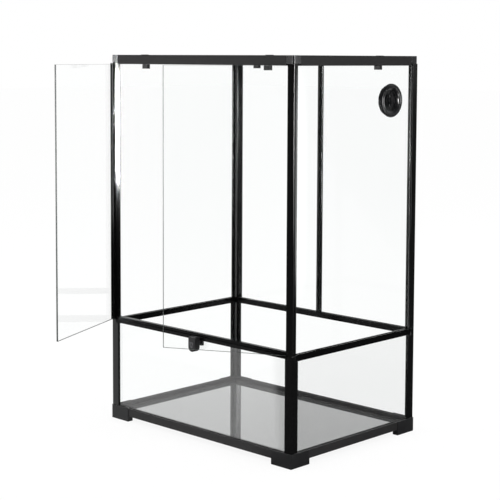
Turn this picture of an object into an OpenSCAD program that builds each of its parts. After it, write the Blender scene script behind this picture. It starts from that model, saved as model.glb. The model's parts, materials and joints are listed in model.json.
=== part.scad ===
/* [Enclosure] */
// Outside width of the frame
case_w = 610; // [500:5:700]
// Outside depth of the frame
case_d = 440; // [400:5:550]
// Height from the floor to the rim of the top frame
case_h = 914; // [850:1:960]
// Height of the underside of the side and back middle rails
mid_z = 240; // [200:1:300]
// How much higher the front middle rail lies
front_rise = 5; // [2:0.5:8]

/* [Frame] */
// Height of the top rails
top_rail_h = 22.5; // [18:0.5:30]
// Height of the middle rails
mid_rail_h = 15; // [14:1:20]
// Height of the bottom rails
bottom_rail_h = 20; // [18:1:30]
// Gap between the floor and the bottom rails
foot_lift = 13; // [10:1:16]
// Wall of the rails and posts outside the glass
skin = 4; // [3:0.5:5]
// Width of each leg of a lower corner post
lower_leg = 21; // [18:1:24]
// Width of the wide leg of an upper front post
front_leg = 21; // [18:1:23]
// Width of the wide leg of an upper back post
back_leg = 24; // [20:1:28]
// Length of each arm of a foot
foot_arm = 60; // [45:1:80]
// Thickness of the arms of a foot under the rails
foot_t = 14; // [12:1:16]
// How far a foot stands proud of the rails
foot_proud = 1.5; // [1:0.5:2]

/* [Glass] */
// Thickness of every pane
glass_t = 4; // [3:0.5:4]
// Thickness of the glass base panel
base_t = 4; // [3:0.5:5]

/* [Doors] */
// Angle by which the left door stands open
left_open = 66; // [0:0.5:120]
// Angle by which the right door stands open
right_open = 28; // [0:0.5:120]
// Width of the hinge strip on each door
strip_w = 16; // [14:0.5:18]
// Thickness of the hinge strip
strip_t = 7; // [6:0.5:8]
// Gap between the two closed doors
door_gap = 3; // [2:0.5:4]
// Radius of a hinge pin
pin_r = 2; // [1.5:0.25:2]
// Length of a hinge pin outside its strip
pin_len = 6; // [4:1:7]

/* [Lid] */
// Width of the rails of the screen lid
lid_rail_w = 28; // [26:1:34]
// Number of openings in the screen, left to right
screen_cols = 12; // [6:2:12]
// Number of openings in the screen, front to back
screen_rows = 8; // [4:2:12]
// Width of the bars between the openings
screen_bar = 6; // [4:0.5:10]
// Distance of the lid locks from the centre, left and right
latch_x = 209; // [150:1:230]
// Distance of the lid locks in from the front and back faces
latch_in = 25; // [24:1:27]
// Length of the tab of a lid lock
tab_l = 18; // [16:1:20]
// Width of the tab of a lid lock
tab_w = 9; // [8:1:10]
// Depth of the tab of a lid lock below the top frame
tab_h = 11; // [8:1:14]

/* [Vent] */
// Outside diameter of the vent
vent_d = 79; // [70:1:90]
// Distance of the vent's centre from the back face
vent_in = 97; // [90:1:160]
// Distance of the vent's centre below the rim
vent_down = 104.5; // [90:0.5:160]
// Number of air slots
vent_slots = 6; // [4:1:8]

/* [Lock] */
// Width of the lock body
lock_w = 23; // [21:1:27]
// Depth of the lock body in front of the middle rail
lock_d = 16; // [15:1:20]
// Height of the lock body
lock_h = 35; // [34:1:40]

/* [Hidden] */
$fn = 64;
eps = 0.01;
half_w = case_w / 2;
half_d = case_d / 2;
run = 0.3;
fit = 0.05;
pane_out_x = half_w - skin;
pane_out_y = half_d - skin;
pane_in_x = pane_out_x - glass_t;
pane_in_y = pane_out_y - glass_t;
rail_in = skin + glass_t + skin;
ledge_w = 7;
ledge_t = 2;
base_z = foot_lift + 5;
rail_top = foot_lift + bottom_rail_h;
mid_top = mid_z + mid_rail_h;
front_z = mid_z + front_rise;
front_top = front_z + mid_rail_h;
slot_depth = 3;
mid_d = 11;
door_rest_z = front_top - 7;
post_seat_z = door_rest_z;
top_z = case_h - top_rail_h;
cap_z = top_z + 4;
cap_w = 23;
cap_r = 5;
shelf_w = 12;
shelf_t = 3.5;
side_leg = 14;
back_side_leg = 18;
post_front = strip_t + 0.7;
door_bottom = door_rest_z + 1;
door_top = cap_z - 1.5;
glass_top = top_z - 0.5;
pin_x = half_w - strip_t / 2;
pin_y = -half_d + strip_t / 2;
centre_leg = 17;
lid_out_gap = 0.6;
lid_z = top_z + shelf_t;
lid_top = case_h - 2.5;
lid_wall = 3;
lid_corner_r = 16;
lid_half_x = pane_out_x - lid_out_gap;
lid_half_y = pane_out_y - lid_out_gap;
latch_y = half_d - latch_in;
spindle_r = 3;
boss_r = 7;
mesh_z = lid_z + 8;
mesh_t = 1.2;
vent_y = half_d - vent_in;
vent_z = case_h - vent_down;
vent_proud = 1.2;
sleeve_r = vent_d * 0.36;
lock_top = door_bottom - 0.5;
lock_front = -half_d + 1 - lock_d;
key_z = lock_top - lock_h / 2 - 1;
plug_r = 6;
bolt_w = 16;
bolt_t = 3.4;
bolt_back = -half_d - 0.7;
seal_w = 4;

// ---- shared shapes --------------------------------------------------------

// A box given by its lowest and highest corners
module span(lo, hi) {
    translate(lo) cube([hi[0] - lo[0], hi[1] - lo[1], hi[2] - lo[2]]);
}

// Moves a piece drawn for the front left corner to another corner
module corner(right, back) {
    mirror([right ? 1 : 0, 0, 0]) mirror([0, back ? 1 : 0, 0]) children();
}

// Runs a section drawn in (inwards, up) along X, outer face at y = -half_d
module rail_x(length) {
    translate([-length / 2, -half_d, 0]) rotate([90, 0, 90]) linear_extrude(length) children();
}

// The same along Y, outer face at x = -half_w
module rail_y(length) {
    translate([-half_w, length / 2, 0]) rotate([90, 0, 0]) linear_extrude(length) children();
}

// A rectangle from (x0, y0) to (x1, y1)
module area(x0, y0, x1, y1) {
    translate([x0, y0]) square([x1 - x0, y1 - y0]);
}

// ---- base and bottom frame ------------------------------------------------

// Channel for the glass with a ledge under the base panel
module bottom_section() {
    difference() {
        area(0, foot_lift, rail_in, rail_top);
        area(skin, foot_lift + 2, skin + glass_t, rail_top + 1);
    }
    area(skin + glass_t, base_z - ledge_t, rail_in + ledge_w, base_z);
}

module base_panel() color([0.08, 0.08, 0.09]) {
    span([-half_w + rail_in + 0.2, -half_d + rail_in + 0.2, base_z],
         [half_w - rail_in - 0.2, half_d - rail_in - 0.2, base_z + base_t]);
}

module bottom_rail_long() color([0.12, 0.12, 0.13]) {
    intersection() {
        rail_x(case_w) bottom_section();
        linear_extrude(case_h) polygon([
            [-half_w, -half_d], [half_w, -half_d],
            [half_w - 40, -half_d + 40], [-half_w + 40, -half_d + 40]]);
    }
}

module bottom_rail_short() color([0.12, 0.12, 0.13]) {
    intersection() {
        rail_y(case_d) bottom_section();
        linear_extrude(case_h) polygon([
            [-half_w, -half_d], [-half_w, half_d],
            [-half_w + 40, half_d - 40], [-half_w + 40, -half_d + 40]]);
    }
}

// L-shaped foot: two solid arms under the rails and a thin skin up their outside
module foot() color([0.13, 0.13, 0.14]) {
    arm_x = -half_w + foot_arm;
    arm_y = -half_d + foot_arm;
    out_x = -half_w - foot_proud;
    out_y = -half_d - foot_proud;
    span([out_x, out_y, 0], [arm_x, -half_d + foot_t, foot_lift]);
    span([out_x, out_y, 0], [-half_w + foot_t, arm_y, foot_lift]);
    span([out_x, out_y, 0], [arm_x, -half_d, rail_top + 0.8]);
    span([out_x, out_y, 0], [-half_w, arm_y, rail_top + 0.8]);
}

// ---- lower chamber --------------------------------------------------------

// Angle post that ends at top, between the middle rails, where the long rail starts at long_z
module lower_post(long_z, top, bored) color([0.1, 0.1, 0.11]) {
    block = mid_d + 1;
    far = lower_leg + 1;
    difference() {
        span([-half_w, -half_d, rail_top], [-half_w + lower_leg, -half_d + lower_leg, top]);
        span([-half_w + skin, -half_d + skin, rail_top - 1], [-half_w + far, -half_d + far, mid_z]);
        // slot for the top of the long pane
        span([-half_w + skin, -half_d + skin, mid_z - 1], [-half_w + far, -half_d + skin + glass_t, long_z]);
        // room for the ends of the long and the short rail
        span([-half_w + block, -half_d - 1, long_z], [-half_w + far, -half_d + far, mid_top + 1]);
        span([-half_w + block, -half_d + skin, mid_z - 1], [-half_w + far, -half_d + far, mid_top + 1]);
        span([-half_w - 1, -half_d + block, mid_z], [-half_w + far, -half_d + far, mid_top + 1]);
        if (bored)
            translate([-pin_x, pin_y, door_bottom - pin_len - 1]) cylinder(r = pin_r + fit, h = pin_len + 2);
        else
            // seat of the upper panes
            span([-half_w + skin, -half_d + skin, mid_top - slot_depth], [-half_w + far, -half_d + far, mid_top + 1]);
    }
}

module lower_pane_long(top) color([0.8, 0.9, 0.9, 0.35]) {
    span([-pane_out_x, -pane_out_y, foot_lift + 2], [pane_out_x, -pane_in_y, top]);
}

module lower_pane_short() color([0.8, 0.9, 0.9, 0.35]) {
    span([-pane_out_x, -pane_in_y, foot_lift + 2], [-pane_in_x, pane_in_y, mid_z]);
}

// ---- middle rails ---------------------------------------------------------

// Bar between the lower and the upper glass, with a groove for the upper pane
module mid_section() {
    difference() {
        area(1, mid_z, 1 + mid_d, mid_top);
        area(skin, mid_top - slot_depth, skin + glass_t, mid_top + 1);
    }
}

// The front bar has a step in front instead, in which the doors close
module mid_section_front() {
    area(1, front_z, 1 + mid_d + skin, door_rest_z);
    area((strip_t + glass_t) / 2 + 0.5, door_rest_z - eps, 1 + mid_d + skin, front_top);
}

module mid_rail_front() color([0.1, 0.1, 0.11]) {
    difference() {
        rail_x(2 * (half_w - mid_d - 1)) mid_section_front();
        // room for the wide legs of the upper front posts
        for (side = [-1, 1])
            translate([side * (half_w - front_leg / 2), -half_d, post_seat_z + mid_rail_h / 2])
                cube([front_leg + 0.2, 2 * (post_front + 2.1), mid_rail_h], center = true);
    }
}

module mid_rail_long() color([0.1, 0.1, 0.11]) {
    rail_x(2 * (half_w - mid_d - 1)) mid_section();
}

module mid_rail_short() color([0.1, 0.1, 0.11]) {
    difference() {
        rail_y(2 * (half_d - mid_d - 1)) mid_section();
        // room for the side leg of the upper front post
        translate([-half_w, side_leg / 2 - half_d, post_seat_z + mid_rail_h / 2])
            cube([2 * skin, side_leg + 0.2, mid_rail_h], center = true);
    }
}

// ---- upper chamber --------------------------------------------------------

// Angle post behind the hinge strip of a door
module upper_post_front() color([0.1, 0.1, 0.11]) {
    face = -half_d + post_front;
    span([-half_w, face, post_seat_z], [-half_w + front_leg, face + 2, cap_z]);
    span([-half_w, face, post_seat_z], [-half_w + skin, -half_d + side_leg, cap_z]);
    span([-half_w + skin + glass_t, face, mid_top], [-half_w + rail_in, -half_d + side_leg, top_z]);
}

module upper_post_back() color([0.1, 0.1, 0.11]) {
    span([-half_w, half_d - skin, mid_top], [-half_w + back_leg, half_d, top_z]);
    span([-half_w, half_d - skin, mid_top], [-half_w + cap_w, half_d, cap_z]);
    span([-half_w, half_d - back_side_leg, mid_top], [-half_w + skin, half_d - skin + eps, cap_z]);
}

// Strip behind the joint of the two upper back panes, with a web between them
module back_centre_post() color([0.1, 0.1, 0.11]) {
    leg = centre_leg / 2;
    span([-leg, half_d - skin, mid_top], [leg, half_d, top_z]);
    span([-1.5, pane_in_y - eps, mid_top], [1.5, half_d - skin + eps, top_z]);
}

module side_pane() color([0.8, 0.9, 0.9, 0.35]) {
    span([-pane_out_x, -half_d + post_front + 2, mid_top - slot_depth], [-pane_in_x, pane_in_y, top_z]);
}

module upper_pane_right() {
    difference() {
        mirror([1, 0, 0]) side_pane();
        translate([half_w, vent_y, vent_z]) rotate([0, 90, 0])
            cylinder(r = sleeve_r + 0.5, h = 40, center = true);
    }
}

module back_pane() color([0.8, 0.9, 0.9, 0.35]) {
    span([-pane_out_x, pane_in_y, mid_top - slot_depth], [-1.5, pane_out_y, top_z]);
}

// ---- top frame ------------------------------------------------------------

// Upright outer wall with a shelf that carries the lid
module top_section() {
    area(0, top_z, skin, case_h);
    area(0, top_z, skin + shelf_w, top_z + shelf_t);
}

module top_rail_long() color([0.12, 0.12, 0.13]) {
    rail_x(case_w - 2 * cap_w) top_section();
}

module top_rail_short() color([0.12, 0.12, 0.13]) {
    rail_y(case_d - 2 * cap_w) top_section();
}

// Corner joiner with a rounded outer edge and a bore for the hinge pin
module top_corner(bored) color([0.13, 0.13, 0.14]) {
    difference() {
        translate([-half_w, -half_d, cap_z]) linear_extrude(case_h - cap_z) {
            translate([cap_r, cap_r]) circle(r = cap_r);
            area(cap_r, 0, cap_w, skin);
            area(0, cap_r, skin, cap_w);
        }
        if (bored)
            translate([-pin_x, pin_y, cap_z - 1]) cylinder(r = pin_r + fit, h = pin_len + 1);
    }
}

// ---- seals ----------------------------------------------------------------

module glass_seals() color([0.05, 0.05, 0.05]) {
    for (sx = [-1, 1]) for (sy = [-1, 1])
        translate([sx * (pane_in_x - seal_w / 2), sy * (pane_in_y - seal_w / 2), (rail_top + mid_z) / 2])
            cube([seal_w, seal_w, mid_z - rail_top], center = true);
    for (sx = [-1, 1])
        translate([sx * (pane_in_x - seal_w / 2), pane_in_y - seal_w / 2, (mid_top + top_z) / 2])
            cube([seal_w, seal_w, top_z - mid_top], center = true);
}

// ---- vent -----------------------------------------------------------------

// Turns a shape drawn round +Z so that it lies round the vent's axis, +Z outwards
module on_vent() {
    translate([half_w, vent_y, vent_z]) rotate([0, 90, 0]) children();
}

// Ring outside the glass, its sleeve through the pane and a fixed disc, whose slots start shut
module vent_flange() color([0.1, 0.1, 0.1]) {
    r = vent_d / 2;
    on_vent() {
        rotate_extrude() polygon([
            [sleeve_r - 3, -16], [sleeve_r, -16], [sleeve_r, -skin], [r, -skin],
            [r, -1], [r - 2, vent_proud], [r - 6, vent_proud], [r - 8, -1],
            [sleeve_r, -1], [sleeve_r - 3, -2.5]]);
        translate([0, 0, -12]) slotted_disc(sleeve_r - 3 + eps, 2.5, 180 / vent_slots);
    }
}

// Disc with a ring of sector slots and a bore in its middle
module slotted_disc(r, t, turn) {
    pitch = 360 / vent_slots;
    difference() {
        cylinder(r = r, h = t);
        translate([0, 0, -1]) cylinder(r = spindle_r + fit, h = t + 2);
        for (i = [0 : vent_slots - 1]) rotate(i * pitch + turn) slot(r, t + 2);
    }
}

// One sector slot, half of the pitch wide
module slot(r, t) {
    half = 360 / vent_slots / 4 - 1.5;
    translate([0, 0, -1]) linear_extrude(t) difference() {
        polygon([[0, 0], [r * cos(half) * 1.1, -r * sin(half) * 1.1], [r * cos(half) * 1.1, r * sin(half) * 1.1]]);
        circle(r = r * 0.32);
        difference() {
            circle(r = r * 2);
            circle(r = r * 0.86);
        }
    }
}

// Ring nut on the sleeve, against the inside of the pane
module vent_nut() color([0.1, 0.1, 0.1]) {
    on_vent() translate([0, 0, -skin - glass_t - 5]) difference() {
        cylinder(r = sleeve_r + 7, h = 5);
        translate([0, 0, -1]) cylinder(r = sleeve_r + fit, h = 7);
        for (i = [0 : 11]) rotate(i * 30) translate([sleeve_r + 8.5, 0, -1]) cylinder(r = 2.5, h = 7);
    }
}

// Turning disc in front of the fixed one, with stepped rings and a grip
module vent_shutter() color([0.11, 0.11, 0.11]) {
    r = sleeve_r - 3 - run;
    on_vent() {
        translate([0, 0, -9.2]) difference() {
            union() {
                slotted_disc(r, 2, 0);
                for (ring = [0.96, 0.62]) difference() {
                    cylinder(r = r * ring, h = 5);
                    translate([0, 0, -1]) cylinder(r = r * ring - 2, h = 7);
                    for (i = [0 : vent_slots - 1]) rotate(i * 360 / vent_slots) slot(r * 0.8, 3);
                }
                cylinder(r = r * 0.3, h = 6);
            }
        }
        translate([0, 0, -13]) cylinder(r = spindle_r, h = 6);
        translate([-r * 0.5, -1.5, -4]) cube([r, 3, 5]);
    }
}

// ---- lock -----------------------------------------------------------------

module lock_housing() color([0.14, 0.14, 0.15]) {
    bottom = lock_top - lock_h;
    round_r = lock_w / 2;
    difference() {
        translate([0, lock_front + lock_d, 0]) rotate([90, 0, 0]) linear_extrude(lock_d) union() {
            area(-lock_w / 2, bottom + round_r, lock_w / 2, lock_top);
            translate([0, bottom + round_r]) circle(r = round_r);
        }
        // slot for the bolt, open at the top
        span([-bolt_w / 2 - run, bolt_back - bolt_t - run, key_z - 9], [bolt_w / 2 + run, bolt_back + run, lock_top + 1]);
        translate([0, lock_front - 1, key_z]) rotate([-90, 0, 0]) cylinder(r = plug_r + fit, h = 11);
    }
}

// Plate behind the lower pane that the lock is screwed to
module lock_back_plate() color([0.1, 0.1, 0.11]) {
    span([-10, -pane_in_y, front_z - 14], [10, -pane_in_y + 8, front_z]);
}

module lock_cylinder() color([0.5, 0.5, 0.52]) {
    difference() {
        translate([0, lock_front - 0.8, key_z]) rotate([-90, 0, 0]) cylinder(r = plug_r, h = 10);
        translate([0, lock_front - 1, key_z]) cube([1.4, 8, 6.5], center = true);
        translate([0, lock_front - 1, key_z + 1.5]) rotate([-90, 0, 0]) cylinder(r = 1.3, h = 4);
    }
}

module lock_bolt() color([0.6, 0.6, 0.62]) {
    span([-bolt_w / 2, bolt_back - bolt_t, key_z - 8], [bolt_w / 2, bolt_back, lock_top - 1.5]);
}

// ---- doors ----------------------------------------------------------------

// Places the left door, drawn closed, at its open angle
module swing(angle) {
    translate([-pin_x, pin_y, 0]) rotate(-angle) translate([pin_x, -pin_y, 0]) children();
}

module door_glass() color([0.8, 0.9, 0.9, 0.35]) {
    mid = -half_d + strip_t / 2;
    span([-half_w + 4, mid - glass_t / 2, door_bottom], [-door_gap / 2, mid + glass_t / 2, glass_top]);
}

// Channel on the hinge edge, rounded about the pins, with a pin at each end
module door_strip() color([0.09, 0.09, 0.1]) {
    r = strip_t / 2;
    difference() {
        translate([-half_w, -half_d, door_bottom]) linear_extrude(door_top - door_bottom) {
            translate([r, r]) circle(r = r);
            area(r, 0, strip_w, strip_t);
        }
        span([-half_w + 4, -half_d + (strip_t - glass_t) / 2, door_bottom - 1],
             [0, -half_d + (strip_t + glass_t) / 2, glass_top]);
    }
    for (z = [door_bottom - pin_len, door_top - 1])
        translate([-pin_x, pin_y, z]) cylinder(r = pin_r, h = pin_len + 1);
}

// ---- screen lid -----------------------------------------------------------

// Outline of the lid with its rounded corners
module lid_outline() {
    reach_x = lid_half_x - lid_corner_r;
    reach_y = lid_half_y - lid_corner_r;
    linear_extrude(case_h) {
        area(-reach_x, -lid_half_y, reach_x, lid_half_y);
        area(-lid_half_x, -reach_y, lid_half_x, reach_y);
        for (x = [-reach_x, reach_x]) for (y = [-reach_y, reach_y])
            translate([x, y]) circle(r = lid_corner_r);
    }
}

// Upside-down channel, drawn in (inwards from the lid's edge, up)
module lid_section() {
    area(0, lid_z, lid_wall, lid_top);
    area(0, lid_top - lid_wall, lid_rail_w, lid_top);
    area(lid_rail_w - lid_wall, mesh_z - 2, lid_rail_w, lid_top);
}

module lid_rail_long() color([0.12, 0.12, 0.13]) {
    difference() {
        union() {
            intersection() {
                translate([0, half_d - lid_half_y, 0]) rail_x(2 * lid_half_x) lid_section();
                lid_outline();
            }
            for (side = [-1, 1]) translate([side * latch_x, -latch_y, lid_z]) cylinder(r = boss_r, h = lid_top - lid_z);
        }
        for (side = [-1, 1])
            translate([side * latch_x, -latch_y, lid_z - 1]) cylinder(r = spindle_r + fit, h = lid_top - lid_z + 2);
    }
}

module lid_rail_short() color([0.12, 0.12, 0.13]) {
    translate([half_w - lid_half_x, 0, 0]) rail_y(2 * (lid_half_y - lid_rail_w)) lid_section();
}

// Screen as a plain grid of openings, with a crossing of two bars at its centre
module lid_mesh() color([0.35, 0.35, 0.36]) {
    half_x = lid_half_x - lid_rail_w;
    half_y = lid_half_y - lid_rail_w;
    step_x = (2 * half_x - screen_bar) / screen_cols;
    step_y = (2 * half_y - screen_bar) / screen_rows;
    difference() {
        span([-half_x, -half_y, mesh_z], [half_x, half_y, mesh_z + mesh_t]);
        for (col = [0 : screen_cols - 1]) for (row = [0 : screen_rows - 1])
            translate([-half_x + screen_bar + col * step_x, -half_y + screen_bar + row * step_y, mesh_z - 1])
                cube([step_x - screen_bar, step_y - screen_bar, mesh_t + 2]);
    }
}

// Turn lock of the front left corner: ribbed head, spindle and tab
module lid_lock() color([0.12, 0.12, 0.13]) {
    head_z = lid_top + run;
    translate([-latch_x, -latch_y, 0]) {
        translate([0, 0, top_z - run - 1]) cylinder(r = spindle_r, h = head_z - top_z + run + 1.5);
        translate([0, 0, head_z]) cylinder(r = 9, h = 1.4);
        for (x = [-6, 0, 6]) translate([x - 1, -6, head_z + 1]) cube([2, 12, 2.2]);
        span([-tab_w / 2, -tab_w / 2, top_z - tab_h], [tab_l - tab_w / 2, tab_w / 2, top_z - run]);
    }
}

// ---- assembly -------------------------------------------------------------

base_panel();
bottom_rail_long();  // bottom_rail_front
corner(false, true) bottom_rail_long();  // bottom_rail_back
bottom_rail_short();  // bottom_rail_left
corner(true, false) bottom_rail_short();  // bottom_rail_right
foot();  // foot_front_left
corner(true, false) foot();  // foot_front_right
corner(false, true) foot();  // foot_back_left
corner(true, true) foot();  // foot_back_right
lower_post(front_z, post_seat_z, true);  // lower_post_front_left
corner(true, false) lower_post(front_z, post_seat_z, true);  // lower_post_front_right
corner(false, true) lower_post(mid_z, mid_top, false);  // lower_post_back_left
corner(true, true) lower_post(mid_z, mid_top, false);  // lower_post_back_right
lower_pane_long(front_z);  // lower_pane_front
corner(false, true) lower_pane_long(mid_z);  // lower_pane_back
lower_pane_short();  // lower_pane_left
corner(true, false) lower_pane_short();  // lower_pane_right
mid_rail_front();
corner(false, true) mid_rail_long();  // mid_rail_back
mid_rail_short();  // mid_rail_left
corner(true, false) mid_rail_short();  // mid_rail_right
upper_post_front();  // upper_post_front_left
corner(true, false) upper_post_front();  // upper_post_front_right
upper_post_back();  // upper_post_back_left
corner(true, false) upper_post_back();  // upper_post_back_right
back_centre_post();
side_pane();  // upper_pane_left
upper_pane_right();
back_pane();  // upper_pane_back_left
corner(true, false) back_pane();  // upper_pane_back_right
top_rail_long();  // top_rail_front
corner(false, true) top_rail_long();  // top_rail_back
top_rail_short();  // top_rail_left
corner(true, false) top_rail_short();  // top_rail_right
top_corner(true);  // top_corner_front_left
corner(true, false) top_corner(true);  // top_corner_front_right
corner(false, true) top_corner(false);  // top_corner_back_left
corner(true, true) top_corner(false);  // top_corner_back_right
glass_seals();
vent_flange();
vent_nut();
vent_shutter();
lock_housing();
lock_back_plate();
lock_cylinder();
lock_bolt();
swing(left_open) door_glass();  // door_left_glass
swing(left_open) door_strip();  // door_left_strip
corner(true, false) swing(right_open) door_glass();  // door_right_glass
corner(true, false) swing(right_open) door_strip();  // door_right_strip
lid_rail_long();  // lid_rail_front
corner(false, true) lid_rail_long();  // lid_rail_back
lid_rail_short();  // lid_rail_left
corner(true, false) lid_rail_short();  // lid_rail_right
lid_mesh();
lid_lock();  // lid_lock_front_left
corner(true, false) lid_lock();  // lid_lock_front_right
corner(false, true) lid_lock();  // lid_lock_back_left
corner(true, true) lid_lock();  // lid_lock_back_right
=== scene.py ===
import json
import math

import bmesh
import bpy
from mathutils import Matrix, Vector


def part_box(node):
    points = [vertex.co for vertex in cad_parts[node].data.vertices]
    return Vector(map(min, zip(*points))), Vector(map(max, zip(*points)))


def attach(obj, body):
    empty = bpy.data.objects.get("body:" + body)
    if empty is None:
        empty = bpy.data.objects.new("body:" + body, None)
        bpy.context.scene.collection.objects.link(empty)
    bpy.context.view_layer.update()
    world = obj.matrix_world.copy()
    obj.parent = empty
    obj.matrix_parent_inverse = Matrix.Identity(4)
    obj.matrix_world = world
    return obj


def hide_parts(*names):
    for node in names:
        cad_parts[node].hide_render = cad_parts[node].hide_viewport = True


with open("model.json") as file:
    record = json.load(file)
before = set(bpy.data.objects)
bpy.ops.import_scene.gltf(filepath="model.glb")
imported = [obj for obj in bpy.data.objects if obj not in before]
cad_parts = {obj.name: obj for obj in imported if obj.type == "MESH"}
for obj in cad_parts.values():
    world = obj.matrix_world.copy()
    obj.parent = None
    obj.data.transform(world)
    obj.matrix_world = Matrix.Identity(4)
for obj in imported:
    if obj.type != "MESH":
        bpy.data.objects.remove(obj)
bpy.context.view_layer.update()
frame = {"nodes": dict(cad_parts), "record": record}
MM = 0.001

FINISH = {part["node"]: part["material_slot"] for part in frame["record"]["subparts"]}
BODY = {node: body for body, nodes in frame["record"]["behaviour"]["bodies"].items() for node in nodes}


def linked(name, data):
    """A new object in the scene."""
    made = bpy.data.objects.new(name, data)
    bpy.context.scene.collection.objects.link(made)
    return made


# ---- camera -----------------------------------------------------------------

# The place is fitted to the edges of the frame in the photograph. The shift is kept small and a tilt makes up
# for the rest of it, so that views from other sides hold the whole object.
CAMERA_PLACE = (2.2351, -2.3408, 0.9075)
CAMERA_TURN = math.radians(44.177)
CAMERA_TILT = math.radians(-4.616)
CAMERA_ROLL = math.radians(0.255)
CAMERA_LENS = 95.384
CAMERA_SHIFT = -0.17


def add_camera():
    camera = linked("camera", bpy.data.cameras.new("camera"))
    camera.data.lens = CAMERA_LENS
    camera.data.shift_y = CAMERA_SHIFT
    camera.data.clip_end = 100
    camera.matrix_world = (
        Matrix.Translation(CAMERA_PLACE)
        @ Matrix.Rotation(CAMERA_TURN, 4, "Z")
        @ Matrix.Rotation(math.pi / 2 + CAMERA_TILT, 4, "X")
        @ Matrix.Rotation(CAMERA_ROLL, 4, "Z")
    )
    bpy.context.scene.camera = camera


# ---- shader writing ---------------------------------------------------------


class Value:
    """An output of a shader node, on which + - * make Math nodes."""

    def __init__(self, shader, socket):
        self.shader = shader
        self.socket = socket

    def math(self, operation, *inputs):
        return self.shader.node("ShaderNodeMath", {"operation": operation}, dict(enumerate(inputs)))

    def __add__(self, other):
        return self.math("ADD", self, other)

    def __sub__(self, other):
        return self.math("SUBTRACT", self, other)

    def __rsub__(self, other):
        return self.math("SUBTRACT", other, self)

    def __mul__(self, other):
        return self.math("MULTIPLY", self, other)

    __radd__ = __add__
    __rmul__ = __mul__

    def maximum(self, other):
        return self.math("MAXIMUM", self, other)

    def between(self, low, high):
        """0 below low, 1 above high, and smooth in between."""
        inputs = {"Value": self, "From Min": low, "From Max": high}
        return self.shader.node("ShaderNodeMapRange", {"interpolation_type": "SMOOTHSTEP"}, inputs)


class Shader:
    """The node tree of one material or of the world."""

    def __init__(self, owner):
        self.owner = owner
        owner.use_nodes = True
        self.tree = owner.node_tree
        self.tree.nodes.clear()

    def node(self, kind, settings=None, inputs=None, output=0):
        made = self.tree.nodes.new(kind)
        for name, setting in (settings or {}).items():
            setattr(made, name, setting)
        for name, value in (inputs or {}).items():
            if isinstance(value, Value):
                self.tree.links.new(value.socket, made.inputs[name])
            else:
                made.inputs[name].default_value = value
        return Value(self, made.outputs[output])

    def place(self, scale=(1, 1, 1)):
        """Object coordinates, stretched by a scale along each axis."""
        coordinates = self.node("ShaderNodeTexCoord", output="Object")
        return self.node("ShaderNodeMapping", inputs={"Vector": coordinates, "Scale": scale})

    def noise(self, scale, detail=3.0, stretch=(1, 1, 1)):
        inputs = {"Vector": self.place(stretch), "Scale": scale, "Detail": detail}
        return self.node("ShaderNodeTexNoise", inputs=inputs, output="Fac")

    def colours(self, factor, first, second):
        """A mix of two colours, of which the first may be a value."""
        inputs = {"Factor": factor, 6: first if isinstance(first, Value) else (*first, 1), 7: (*second, 1)}
        return self.node("ShaderNodeMix", {"data_type": "RGBA"}, inputs, output=2)

    def bump(self, height, distance, strength=1.0):
        inputs = {"Height": height, "Distance": distance, "Strength": strength}
        return self.node("ShaderNodeBump", inputs=inputs)

    def mix(self, factor, first, second):
        return self.node("ShaderNodeMixShader", inputs={0: factor, 1: first, 2: second})

    def light_path(self, kind):
        return self.node("ShaderNodeLightPath", output=kind)

    def finish(self, surface):
        target = "World" if isinstance(self.owner, bpy.types.World) else "Material"
        output = self.tree.nodes.new("ShaderNodeOutput" + target)
        self.tree.links.new(surface.socket, output.inputs["Surface"])
        return self.owner


# ---- materials --------------------------------------------------------------


DRAWN_OUT = 0.012


def draw_lines(along):
    """How a pattern is stretched into draw lines along one axis."""
    return tuple(DRAWN_OUT if axis == along else 1.0 for axis in range(3))


def gloss_extrusion(name, along, shine, tone):
    """Smooth black profile with faint draw lines along one axis."""
    shader = Shader(bpy.data.materials.new(name))
    streaks = shader.noise(700, 2, draw_lines(along))
    clouds = shader.noise(8, 4)
    shade = clouds * 0.6 + streaks * 0.4
    surface = shader.node("ShaderNodeBsdfPrincipled", inputs={
        "Base Color": shader.colours(shade, (tone * 0.5,) * 3, (tone, tone, tone * 1.05)),
        "Roughness": clouds * 0.03 + streaks * 0.03 + 0.08,
        "Specular IOR Level": shine,
        "Normal": shader.bump(streaks, 0.01 * MM, 0.5),
    })
    return shader.finish(surface)


def satin_extrusion(name, along, shine, tone):
    """Black satin plastic with fine draw lines along one axis."""
    shader = Shader(bpy.data.materials.new(name))
    streaks = shader.noise(900, 2, draw_lines(along))
    clouds = shader.noise(9, 4)
    shade = clouds * 0.6 + streaks * 0.4
    height = streaks * 0.7 + shader.noise(2600, 2) * 0.3
    surface = shader.node("ShaderNodeBsdfPrincipled", inputs={
        "Base Color": shader.colours(shade, (tone * 0.4,) * 3, (tone, tone * 0.96, tone)),
        "Roughness": clouds * 0.10 + streaks * 0.14 + 0.34,
        "Specular IOR Level": shine,
        "Normal": shader.bump(height, 0.03 * MM, 0.5),
    })
    return shader.finish(surface)


def moulded_grain(name, dark, light, roughness, shine, grain):
    """Moulded black plastic with a fine leather-like grain."""
    shader = Shader(bpy.data.materials.new(name))
    clouds = shader.noise(14, 4)
    pebbles = shader.node("ShaderNodeTexVoronoi", inputs={"Vector": shader.place(), "Scale": 1500.0})
    surface = shader.node("ShaderNodeBsdfPrincipled", inputs={
        "Base Color": shader.colours(clouds, dark, light),
        "Roughness": clouds * 0.12 + shader.noise(700, 2) * 0.1 + roughness,
        "Specular IOR Level": shine,
        "Normal": shader.bump(pebbles, grain, 0.5),
    })
    return shader.finish(surface)


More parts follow.
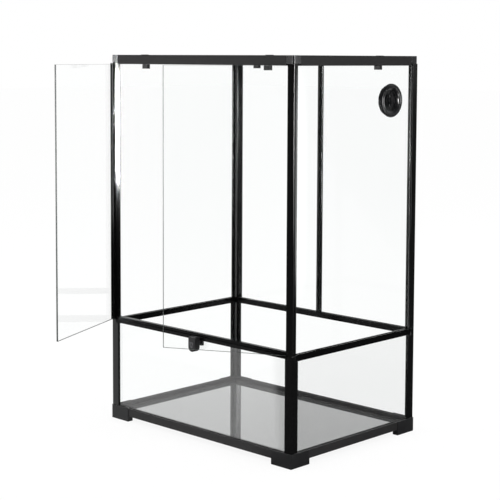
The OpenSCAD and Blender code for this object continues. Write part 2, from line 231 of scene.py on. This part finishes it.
def clear_glass(name, facing_share):
    """Thin float glass: light passes straight on, and more of it is mirrored at a low angle."""
    shader = Shader(bpy.data.materials.new(name))
    facing = shader.node("ShaderNodeLayerWeight", inputs={"Blend": 0.5}, output="Facing")
    film = shader.noise(6, 3)
    mirrored = facing.math("POWER", facing, 5.0) * 0.96 + film * 0.004 + facing_share
    through = shader.node("ShaderNodeBsdfTransparent", inputs={"Color": (0.997, 1.0, 0.999, 1)})
    gloss = shader.node("ShaderNodeBsdfGlossy", inputs={"Color": (1, 1, 1, 1), "Roughness": 0.0})
    return shader.finish(shader.mix(mirrored, through, gloss))


def ground_edge():
    """The seamed edge of a pane, dark from the depth of the glass."""
    shader = Shader(bpy.data.materials.new("ground_edge"))
    wear = shader.noise(160, 4)
    surface = shader.node("ShaderNodeBsdfPrincipled", inputs={
        "Base Color": shader.colours(wear, (0.018, 0.024, 0.022), (0.05, 0.06, 0.056)),
        "Roughness": wear * 0.2 + 0.25,
        "Normal": shader.bump(shader.noise(1800, 2), 0.04 * MM, 0.4),
    })
    return shader.finish(surface)


def base_with_painted_shade():
    """Glass base panel whose grey colour is painted shade, standing for the shaded floor under the tank seen
    through clear glass; under a clear coat it mirrors at a low angle.
    """
    shader = Shader(bpy.data.materials.new("base_with_painted_shade"))
    film = shader.noise(5, 5)
    surface = shader.node("ShaderNodeBsdfPrincipled", inputs={
        # Painted shade: this grey stands for the shaded floor under the tank, seen through the glass.
        "Base Color": shader.colours(film, (0.085, 0.087, 0.087), (0.115, 0.117, 0.117)),
        "Roughness": film * 0.02 + 0.01,
        "IOR": 1.7,
        "Coat Weight": 1.0,
        "Coat Roughness": 0.01,
        "Coat IOR": 1.5,
    })
    return shader.finish(surface)


def silicone():
    shader = Shader(bpy.data.materials.new("silicone"))
    ripples = shader.noise(220, 3)
    surface = shader.node("ShaderNodeBsdfPrincipled", inputs={
        "Base Color": shader.colours(ripples, (0.010, 0.010, 0.010), (0.024, 0.024, 0.024)),
        "Roughness": ripples * 0.2 + 0.3,
        "Normal": shader.bump(ripples, 0.2 * MM, 0.6),
    })
    return shader.finish(surface)


def coated_wire():
    shader = Shader(bpy.data.materials.new("coated_wire"))
    specks = shader.noise(1200, 3)
    surface = shader.node("ShaderNodeBsdfPrincipled", inputs={
        "Base Color": shader.colours(specks, (0.014, 0.014, 0.015), (0.045, 0.045, 0.047)),
        "Roughness": specks * 0.2 + 0.35,
    })
    return shader.finish(surface)


def plated_metal():
    """Dark plated lock parts with a fine brushed finish."""
    shader = Shader(bpy.data.materials.new("plated_metal"))
    brushing = shader.noise(900, 2, (1, 1, 0.03))
    stains = shader.noise(60, 4)
    surface = shader.node("ShaderNodeBsdfPrincipled", inputs={
        "Base Color": shader.colours(stains, (0.05, 0.05, 0.053), (0.12, 0.12, 0.125)),
        "Metallic": 1.0,
        "Roughness": brushing * 0.25 + 0.22,
        "Normal": shader.bump(brushing, 0.02 * MM, 0.4),
    })
    return shader.finish(surface)


# The finish of the extruded pieces, for draw lines along X, Y and Z
TOP_SATIN = [
    satin_extrusion("top_x", 0, shine=0.09, tone=0.016),
    satin_extrusion("top_y", 1, shine=0.09, tone=0.016),
]
BOTTOM_SATIN = [
    satin_extrusion("bottom_x", 0, shine=0.14, tone=0.026),
    satin_extrusion("bottom_y", 1, shine=0.14, tone=0.026),
]
SATIN = {"top_rail": TOP_SATIN, "lid_rail": TOP_SATIN, "bottom_rail": BOTTOM_SATIN}
GLOSS = [
    gloss_extrusion("gloss_x", 0, shine=0.08, tone=0.004),
    gloss_extrusion("gloss_y", 1, shine=0.08, tone=0.004),
    gloss_extrusion("gloss_z", 2, shine=0.32, tone=0.005),
]
X_PIECES = ("rail_front", "rail_back")
Y_PIECES = ("rail_left", "rail_right")

# The panes that mirror more of the studio than the others do
MIRRORING = {
    "lower_pane_front": clear_glass("front_glass", 0.055),
    "lower_pane_right": clear_glass("side_glass", 0.055),
}
MATERIAL = {
    "moulded_plastic": moulded_grain(
        "moulded_plastic", (0.007, 0.007, 0.008), (0.016, 0.016, 0.017),
        roughness=0.32, shine=0.2, grain=0.05 * MM),
    "vent_plastic": moulded_grain(
        "vent_plastic", (0.003, 0.003, 0.004), (0.008, 0.008, 0.009),
        roughness=0.07, shine=0.45, grain=0.02 * MM),
    "clear_glass": clear_glass("clear_glass", 0.003),
    "base_glass": base_with_painted_shade(),
    "silicone": silicone(),
    "wire_mesh": coated_wire(),
    "lock_metal": plated_metal(),
}
CORNER_MATERIAL = moulded_grain(
    "glossy_corner", (0.006, 0.006, 0.007), (0.014, 0.014, 0.015),
    roughness=0.10, shine=0.35, grain=0.01 * MM)
EDGE_MATERIAL = ground_edge()


def material_of(node):
    if node in MIRRORING:
        return MIRRORING[node]
    if node.startswith("top_corner"):
        return CORNER_MATERIAL
    if FINISH[node] != "frame_plastic":
        return MATERIAL[FINISH[node]]
    finish = next((satin for start, satin in SATIN.items() if node.startswith(start)), GLOSS)
    if node.endswith(X_PIECES):
        return finish[0]
    if node.endswith(Y_PIECES):
        return finish[1]
    return finish[2]


# ---- mesh helpers -----------------------------------------------------------

SMOOTH_ANGLE = math.radians(16)
SHARP_ANGLE = math.radians(35)


def mesh_of(name, bm):
    mesh = bpy.data.meshes.new(name)
    bm.to_mesh(mesh)
    bm.free()
    return mesh


def piece(name, bm, body, material):
    """Makes the object of a finished mesh, which rides on a body."""
    mesh = mesh_of(name, bm)
    mesh.materials.append(material)
    mesh.shade_smooth()
    mesh.set_sharp_from_angle(angle=SMOOTH_ANGLE)
    made = linked(name, mesh)
    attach(made, body)
    return made


def node_mesh(node):
    """A copy of a CAD node's mesh, joined up and with its flat faces whole."""
    bm = bmesh.new()
    bm.from_mesh(frame["nodes"][node].data)
    bmesh.ops.remove_doubles(bm, verts=bm.verts, dist=0.002 * MM)
    bmesh.ops.dissolve_limit(
        bm, angle_limit=math.radians(0.5), use_dissolve_boundaries=False, verts=bm.verts, edges=bm.edges)
    return bm


def round_edges(bm, edges, width, segments):
    bmesh.ops.bevel(
        bm, geom=edges, offset=width, offset_type="OFFSET", affect="EDGES", segments=segments, profile=0.5,
        material=-1, clamp_overlap=True)


def soften(bm, width, segments=2):
    """Rounds the outer edges of a mesh."""
    sharp = [
        edge for edge in bm.edges
        if edge.is_manifold and edge.is_convex and edge.calc_face_angle() > SHARP_ANGLE]
    round_edges(bm, sharp, width, segments)


def dressed(node, width):
    """A node with softened edges, standing for the node."""
    bm = node_mesh(node)
    soften(bm, width)
    made = piece(node + "_dressed", bm, BODY[node], material_of(node))
    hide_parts(node)


def add_box(bm, low, high, width, segments=2):
    """A box between two corners, with rounded edges."""
    low, high = Vector(low), Vector(high)
    size = high - low
    place = Matrix.Translation((low + high) / 2) @ Matrix.Diagonal((*size, 1))
    verts = bmesh.ops.create_cube(bm, size=1, matrix=place)["verts"]
    round_edges(bm, list({edge for vert in verts for edge in vert.link_edges}), width, segments)


def add_turned(bm, outline, place, steps=64):
    """Turns an outline of (radius, height) points round the Z axis of a place."""
    verts = [bm.verts.new((radius, 0, height)) for radius, height in outline]
    edges = [bm.edges.new(pair) for pair in zip(verts, verts[1:])]
    made = bmesh.ops.spin(
        bm, geom=verts + edges, cent=(0, 0, 0), axis=(0, 0, 1), angle=2 * math.pi, steps=steps,
        use_merge=True)
    shape = set(verts) | {item for item in made["geom_last"] if isinstance(item, bmesh.types.BMVert)}
    ring = set(shape)
    while ring:
        ring = {edge.other_vert(vert) for vert in ring for edge in vert.link_edges} - shape
        shape |= ring
    bmesh.ops.remove_doubles(bm, verts=list(shape), dist=0.001 * MM)
    shape = [vert for vert in shape if vert.is_valid]
    faces = list({face for vert in shape for face in vert.link_faces})
    bmesh.ops.recalc_face_normals(bm, faces=faces)
    bmesh.ops.transform(bm, matrix=place, verts=shape)


# ---- frame and panes --------------------------------------------------------

EDGE_ROUNDING = {
    "frame_plastic": 0.6 * MM,
    "moulded_plastic": 0.7 * MM,
    "vent_plastic": 0.3 * MM,
    "lock_metal": 0.2 * MM,
    "silicone": 1.0 * MM,
}
DETAILED = ("glass_seals", "lid_mesh", "vent_flange", "lock_cylinder", "lock_housing")
PANE_CHAMFER = 0.4 * MM


def add_frame_pieces():
    for node, slot in FINISH.items():
        if slot in EDGE_ROUNDING and node not in DETAILED:
            dressed(node, EDGE_ROUNDING[slot])


def add_pane(node):
    """A pane with chamfered, ground edges; its two faces stay clear."""
    bm = node_mesh(node)
    soften(bm, PANE_CHAMFER, 1)
    flat = max(bm.faces, key=lambda face: face.calc_area()).normal.copy()
    for face in bm.faces:
        face.material_index = 0 if abs(face.normal.dot(flat)) > 0.9 else 1
    made = piece(node + "_pane", bm, BODY[node], material_of(node))
    made.data.materials.append(EDGE_MATERIAL)
    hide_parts(node)


def add_base():
    bm = node_mesh("base_panel")
    soften(bm, PANE_CHAMFER, 1)
    made = piece("base_panel_glass", bm, "enclosure", MATERIAL["base_glass"])
    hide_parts("base_panel")


# ---- silicone ---------------------------------------------------------------

SEAL = 4 * MM


def add_seals():
    """Beads in the inner corners of the glass, hollow in front."""
    bm = node_mesh("glass_seals")
    low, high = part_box("glass_seals")
    middle = (Vector(low) + Vector(high)) / 2
    inner = [
        edge for edge in bm.edges
        if abs(edge.verts[0].co.z - edge.verts[1].co.z) > 100 * MM
        and abs(edge.verts[0].co.x - middle.x) < high[0] - middle.x - 0.5 * SEAL
        and abs(edge.verts[0].co.y - middle.y) < high[1] - middle.y - 0.5 * SEAL]
    round_edges(bm, inner, 0.8 * SEAL, 4)
    made = piece("glass_seal_beads", bm, "enclosure", MATERIAL["silicone"])
    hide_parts("glass_seals")


def add_base_bead():
    """A bead round the base panel, where it meets the bottom rails."""
    low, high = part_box("base_panel")
    size = 2.2 * MM
    rounding = 0.4 * size
    bottom = high[2]
    top = high[2] + 0.8 * size
    bm = bmesh.new()
    add_box(bm, (low[0], low[1], bottom), (high[0], low[1] + size, top), rounding)
    add_box(bm, (low[0], high[1] - size, bottom), (high[0], high[1], top), rounding)
    add_box(bm, (low[0], low[1] + size, bottom), (low[0] + size, high[1] - size, top), rounding)
    add_box(bm, (high[0] - size, low[1] + size, bottom), (high[0], high[1] - size, top), rounding)
    piece("base_bead", bm, "enclosure", MATERIAL["silicone"])


# ---- screen lid -------------------------------------------------------------

WIRE_PITCH = 3.4 * MM
WIRE_RADIUS = 0.24 * MM


def add_woven_wires(name, along, length, width, centre, phase):
    """Wires along X (0) or Y (1), which pass over and under those of the other direction."""
    crossings = round(length / WIRE_PITCH)
    step = length / crossings
    wires = round(width / WIRE_PITCH)
    gap = width / wires
    swing = WIRE_RADIUS * 1.05
    bm = bmesh.new()
    turn = Matrix.Rotation(math.pi / 2, 4, "Y")
    start = Matrix.Translation((-length / 2, -width / 2 + gap / 2, phase * swing))
    ring = bmesh.ops.create_circle(bm, segments=4, radius=WIRE_RADIUS, matrix=start @ turn)["verts"]
    edges = list({edge for vert in ring for edge in vert.link_edges})
    side = phase
    for _ in range(crossings):
        side = -side
        grown = bmesh.ops.extrude_edge_only(bm, edges=edges)["geom"]
        ring = [item for item in grown if isinstance(item, bmesh.types.BMVert)]
        edges = [item for item in grown if isinstance(item, bmesh.types.BMEdge)]
        bmesh.ops.translate(bm, verts=ring, vec=(step, 0, 2 * side * swing))
    bmesh.ops.holes_fill(bm, edges=[edge for edge in bm.edges if edge.is_boundary], sides=4)
    bmesh.ops.recalc_face_normals(bm, faces=bm.faces)
    first = bm.verts[:] + bm.edges[:] + bm.faces[:]
    for wire in range(1, wires):
        copy = bmesh.ops.duplicate(bm, geom=first)["geom"]
        verts = [item for item in copy if isinstance(item, bmesh.types.BMVert)]
        bmesh.ops.translate(bm, verts=verts, vec=(0, wire * gap, 0))
        if wire % 2:
            bmesh.ops.scale(bm, verts=verts, vec=(1, 1, -1))
            flipped = [item for item in copy if isinstance(item, bmesh.types.BMFace)]
            bmesh.ops.reverse_faces(bm, faces=flipped)
    if along:
        bmesh.ops.rotate(bm, verts=bm.verts, matrix=Matrix.Rotation(math.pi / 2, 3, "Z"))
    bmesh.ops.translate(bm, verts=bm.verts, vec=centre)
    return piece(name, bm, "screen_lid", MATERIAL["wire_mesh"])


def add_screen():
    low, high = (Vector(corner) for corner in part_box("lid_mesh"))
    size = high - low
    centre = (low + high) / 2
    warp = add_woven_wires("screen_wires_long", 0, size.x, size.y, centre, 1)
    weft = add_woven_wires("screen_wires_short", 1, size.y, size.x, centre, -1)
    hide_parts("lid_mesh")
    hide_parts("lid_mesh")


def add_screen_cord():
    """The round cord that holds the screen in the rails of the lid."""
    low, high = (Vector(corner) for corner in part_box("lid_mesh"))
    radius = 1.4 * MM
    rounding = 0.75 * radius
    bottom = high.z
    top = high.z + 1.6 * radius
    bm = bmesh.new()
    add_box(bm, (low.x, low.y, bottom), (high.x, low.y + 2 * radius, top), rounding, 3)
    add_box(bm, (low.x, high.y - 2 * radius, bottom), (high.x, high.y, top), rounding, 3)
    add_box(bm, (low.x, low.y, bottom), (low.x + 2 * radius, high.y, top), rounding, 3)
    add_box(bm, (high.x - 2 * radius, low.y, bottom), (high.x, high.y, top), rounding, 3)
    piece("screen_cord", bm, "screen_lid", MATERIAL["silicone"])


# ---- vent -------------------------------------------------------------------

# The outer face of the right side
RIGHT_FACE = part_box("top_rail_right")[1][0]


def vent_place():
    """The vent's axis at the face of the right side, +Z outwards."""
    low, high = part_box("vent_flange")
    middle = Vector((RIGHT_FACE, (low[1] + high[1]) / 2, (low[2] + high[2]) / 2))
    return Matrix.Translation(middle) @ Matrix.Rotation(math.pi / 2, 4, "Y")


def add_vent():
    """The flange, and on it a turned rim with a border, a groove, a ridge and a slope down to the disc."""
    low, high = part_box("vent_flange")
    radius = (high[2] - low[2]) / 2
    bm = node_mesh("vent_flange")
    soften(bm, 0.35 * MM)
    made = piece("vent_flange_body", bm, "enclosure", MATERIAL["vent_plastic"])
    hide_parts("vent_flange")
    front = high[0] - RIGHT_FACE
    edge = [(1.003, -4.0 * MM), (1.003, -1.6 * MM), (0.985, -0.4 * MM)]
    border = [(0.960, front - 0.3 * MM), (0.930, front), (0.895, front - 0.2 * MM), (0.875, front - 1.2 * MM)]
    groove = [(0.860, front - 2.6 * MM), (0.845, front - 2.6 * MM), (0.835, front - 1.2 * MM)]
    ridge = [(0.815, front - 0.4 * MM), (0.790, front - 0.1 * MM), (0.765, front - 0.4 * MM)]
    slope = [(0.745, front - 1.6 * MM), (0.725, front - 3.6 * MM)]
    slope += [(0.700, front - 5.0 * MM), (0.655, front - 8.0 * MM)]
    outline = edge + border + groove + ridge + slope
    bm = bmesh.new()
    add_turned(bm, [(share * radius, height) for share, height in outline], vent_place(), 128)
    piece("vent_rim", bm, "enclosure", MATERIAL["vent_plastic"])


# ---- door lock --------------------------------------------------------------

# Where the screws of the back plate sit, as a share of its length from the middle
SCREW_SPREAD = 0.6


def add_lock():
    """The housing, a rosette round its keyed cylinder, and the screws of the back plate."""
    bm = node_mesh("lock_housing")
    soften(bm, 1.1 * MM, 3)
    housing = piece("lock_body", bm, "enclosure", MATERIAL["moulded_plastic"])
    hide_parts("lock_housing")

    low, high = (Vector(corner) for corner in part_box("lock_cylinder"))
    radius = (high.z - low.z) / 2
    face = Matrix.Translation(((low.x + high.x) / 2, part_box("lock_housing")[0][1], (low.z + high.z) / 2))
    face = face @ Matrix.Rotation(math.pi / 2, 4, "X")
    bm = bmesh.new()
    add_turned(bm, [
        (radius + 0.15 * MM, -0.4 * MM), (radius + 0.25 * MM, 0.5 * MM), (radius + 0.6 * MM, 0.75 * MM),
        (radius + 1.2 * MM, 0.6 * MM), (radius + 1.8 * MM, -0.2 * MM)], face)
    piece("lock_rosette", bm, "enclosure", MATERIAL["lock_metal"])

    bm = node_mesh("lock_cylinder")
    soften(bm, 0.25 * MM)
    cylinder = piece("lock_plug", bm, "door_lock_cylinder", MATERIAL["lock_metal"])
    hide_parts("lock_cylinder")

    plate_low, plate_high = (Vector(corner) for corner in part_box("lock_back_plate"))
    bm = bmesh.new()
    screw = [(0, 1.0 * MM), (0.5 * MM, 0.4 * MM), (1.2 * MM, 0.9 * MM)]
    screw += [(2.4 * MM, 0.5 * MM), (2.8 * MM, -0.1 * MM)]
    for x in (plate_low.x * SCREW_SPREAD, plate_high.x * SCREW_SPREAD):
        place = Matrix.Translation((x, plate_high.y, (plate_low.z + plate_high.z) / 2))
        add_turned(bm, screw, place @ Matrix.Rotation(-math.pi / 2, 4, "X"), 24)
    piece("lock_plate_screws", bm, "enclosure", MATERIAL["lock_metal"])


# ---- light, floor and world -------------------------------------------------

WHITE = (1, 1, 1, 1)

# Directions in the studio, counted from the front towards the right
DARK_SIDE = math.radians(65)
BRIGHT_SIDE = math.radians(205)
LEFT_BEHIND = math.radians(250)

# How far a direction lies towards its side where each of these starts, and where it is whole
BEHIND = (0.2, 0.5)
PATCH = (0.855, 0.88)
# How steeply a direction rises where the upper walls start, and where they are whole
UPPER = (0.06, 0.16)

# How bright the studio is in a mirror
WALLS = 0.26
DARK_WALLS = 0.07
PALE_WALLS = 0.93
DARK_FLOOR = 0.05

# From the near corner, the edge of the dark floor runs to the front left by this angle from the front
FLOOR_EDGE = math.radians(44)
# How far left of that corner the dark floor starts beside the object, and how its edge slants off behind
FLOOR_REACH = 0.12
FLOOR_SLANT = 0.5
# How much of the floor the camera sees as pure white; the rest is paper that takes shadows
WHITE_SHARE = 0.9


def heading(angle):
    return Vector((math.sin(angle), -math.cos(angle), 0))


def towards(shader, place, angle):
    """How far a place or direction lies towards a heading."""
    inputs = {0: place, 1: heading(angle)}
    return shader.node("ShaderNodeVectorMath", {"operation": "DOT_PRODUCT"}, inputs, "Value")


def lobe(shader, direction, angle, outer, inner):
    """1 up to an inner angle from a heading and 0 beyond an outer one, in degrees."""
    low = math.cos(math.radians(outer))
    high = math.cos(math.radians(inner))
    return towards(shader, direction, angle).between(low, high)


def add_world():
    """White to the camera. Mirrored, the walls are grey, darker towards the front right and white behind.

    Higher up, white shrinks to a patch behind at the left, and the rest behind is pale.
    """
    world = bpy.data.worlds.new("studio")
    bpy.context.scene.world = world
    shader = Shader(world)
    direction = shader.node("ShaderNodeTexCoord", output="Generated")
    upper = shader.node("ShaderNodeSeparateXYZ", inputs={0: direction}, output="Z").between(*UPPER)
    dark = lobe(shader, direction, DARK_SIDE, 110, 70)
    behind = towards(shader, direction, BRIGHT_SIDE).between(*BEHIND)
    patch = towards(shader, direction, LEFT_BEHIND).between(*PATCH)
    white = lobe(shader, direction, BRIGHT_SIDE, 75, 40) * (1 - upper) + patch * upper
    walls = shader.colours(dark, (WALLS,) * 3, (DARK_WALLS,) * 3)
    walls = shader.colours(behind * upper, walls, (PALE_WALLS,) * 3)
    walls = shader.colours(white, walls, WHITE[:3])
    mirrored = shader.node("ShaderNodeBackground", inputs={"Color": walls})
    plain = shader.node("ShaderNodeBackground", inputs={"Color": WHITE})
    fill = shader.node("ShaderNodeBackground", inputs={"Color": WHITE, "Strength": 0.95})
    seen = shader.light_path("Is Camera Ray").maximum(shader.light_path("Is Transmission Ray"))
    lit = shader.mix(shader.light_path("Is Glossy Ray"), fill, mirrored)
    shader.finish(shader.mix(seen, lit, plain))


def card_mesh(name, size):
    """A flat square, by the length from its middle to a side."""
    bm = bmesh.new()
    bmesh.ops.create_grid(bm, x_segments=1, y_segments=1, size=size)
    return mesh_of(name, bm)


def turned_to(place, target, forwards):
    """Stands at a place, with one axis turned to a target."""
    aim = Vector(target) - Vector(place)
    return Matrix.Translation(place) @ aim.to_track_quat(forwards, "Y").to_matrix().to_4x4()


def add_floor():
    """Pale paper. Mirrored, it is dark beside the object's right and near corner, and white elsewhere."""
    mesh = card_mesh("floor", 30)
    floor = linked("floor", mesh)
    shader = Shader(bpy.data.materials.new("floor"))
    place = shader.node("ShaderNodeTexCoord", output="Object")
    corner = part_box("lower_post_front_right")[0]
    across = math.pi / 2 - FLOOR_EDGE
    limit = heading(across).dot(Vector((corner[0], corner[1], 0)))
    before = towards(shader, place, across).between(limit - 0.03, limit)
    rightwards = shader.node("ShaderNodeSeparateXYZ", inputs={0: place}, output="X")
    backwards = shader.node("ShaderNodeSeparateXYZ", inputs={0: place}, output="Y")
    beside = rightwards - backwards.maximum(0) * FLOOR_SLANT
    left_edge = corner[0] - FLOOR_REACH
    dark = before.maximum(beside.between(left_edge, left_edge + 0.02))
    paper = shader.node("ShaderNodeBsdfDiffuse", inputs={"Color": (0.96, 0.96, 0.96, 1)})
    backdrop = shader.node("ShaderNodeEmission", inputs={"Color": WHITE, "Strength": 1.0})
    paper_in_mirrors = shader.colours(dark, WHITE[:3], (DARK_FLOOR,) * 3)
    mirrored = shader.node("ShaderNodeEmission", inputs={"Color": paper_in_mirrors})
    seen = shader.light_path("Is Camera Ray").maximum(shader.light_path("Is Transmission Ray"))
    plain = shader.mix(seen * WHITE_SHARE, paper, backdrop)
    mesh.materials.append(shader.finish(shader.mix(shader.light_path("Is Glossy Ray"), plain, mirrored)))


def add_lamp(name, place, power, size):
    """A square soft box that faces the middle of the object."""
    lamp = linked(name, bpy.data.lights.new(name, "AREA"))
    lamp.data.energy = power
    lamp.data.size = size
    lamp.matrix_world = turned_to(place, (0, 0, 0.45), "-Z")
    lamp.visible_glossy = False
    lamp.visible_transmission = False


def add_reflector(name, place, width, height, strength, fade=0.5):
    """An upright soft box that shows only as a gleam on glossy surfaces and fades to its edges."""
    mesh = card_mesh(name, 1)
    card = linked(name, mesh)
    stretch = Matrix.Diagonal((width / 2, height / 2, 1, 1))
    card.matrix_world = turned_to(place, (0, 0, place[2]), "Z") @ stretch
    shader = Shader(bpy.data.materials.new(name))
    across = shader.node("ShaderNodeSeparateXYZ", inputs={0: shader.place()}, output="X")
    upwards = shader.node("ShaderNodeSeparateXYZ", inputs={0: shader.place()}, output="Y")
    middle = 1 - across.math("ABSOLUTE", across).between(1 - fade, 1.0)
    middle = middle * (1 - upwards.math("ABSOLUTE", upwards).between(1 - fade, 1.0))
    glow = shader.node("ShaderNodeEmission", inputs={"Color": WHITE, "Strength": strength})
    clear = shader.node("ShaderNodeBsdfTransparent")
    mesh.materials.append(shader.finish(shader.mix(middle, clear, glow)))
    card.visible_camera = False
    card.visible_diffuse = False
    card.visible_transmission = False
    card.visible_shadow = False


def add_gleam(name, place, width, height, power):
    """An upright strip light that shows only as a gleam and isn't shaded by the open door."""
    lamp = linked(name, bpy.data.lights.new(name, "AREA"))
    lamp.data.shape = "RECTANGLE"
    lamp.data.size = width
    lamp.data.size_y = height
    lamp.data.energy = power
    lamp.data.use_shadow = False
    lamp.data.cycles.use_multiple_importance_sampling = False
    lamp.matrix_world = turned_to(place, (0, 0, place[2]), "-Z")
    lamp.visible_camera = False
    lamp.visible_diffuse = False
    lamp.visible_transmission = False


# ---- the whole scene --------------------------------------------------------

bpy.context.scene.view_settings.view_transform = "Standard"
add_camera()
add_world()
add_floor()
add_lamp("key", (-2.4, -3.0, 3.2), power=40, size=2.2)
add_lamp("fill", (3.4, -1.4, 2.2), power=20, size=2.4)
add_lamp("back", (0.4, 3.2, 3.0), power=24, size=2.4)
add_gleam("post_gleam", (-2.02, -1.7, 0.625), width=0.08, height=0.48, power=16.0)
add_gleam("strip_gleam", (-0.24, 1.5, 0.635), width=0.30, height=0.46, power=1.2)
add_reflector("vent_gleam", (2.3, 0.17, 0.99), width=0.14, height=0.26, strength=110.0)
add_reflector("corner_gleam", (2.3, -0.30, 0.70), width=0.2, height=0.6, strength=130.0)
add_reflector("right_gleam", (1.283, 0.87, 0.50), width=0.10, height=0.84, strength=7.0)
add_reflector("front_soft_box", (-0.61, -2.11, 0.62), width=0.9, height=0.80, strength=12.0, fade=0.2)
add_reflector("side_soft_box", (2.04, 0.82, 0.62), width=0.9, height=0.80, strength=12.0, fade=0.2)

add_frame_pieces()
for pane_node, pane_slot in FINISH.items():
    if pane_slot == "clear_glass":
        add_pane(pane_node)
add_base()
add_seals()
add_base_bead()
add_screen()
add_screen_cord()
add_vent()
add_lock()
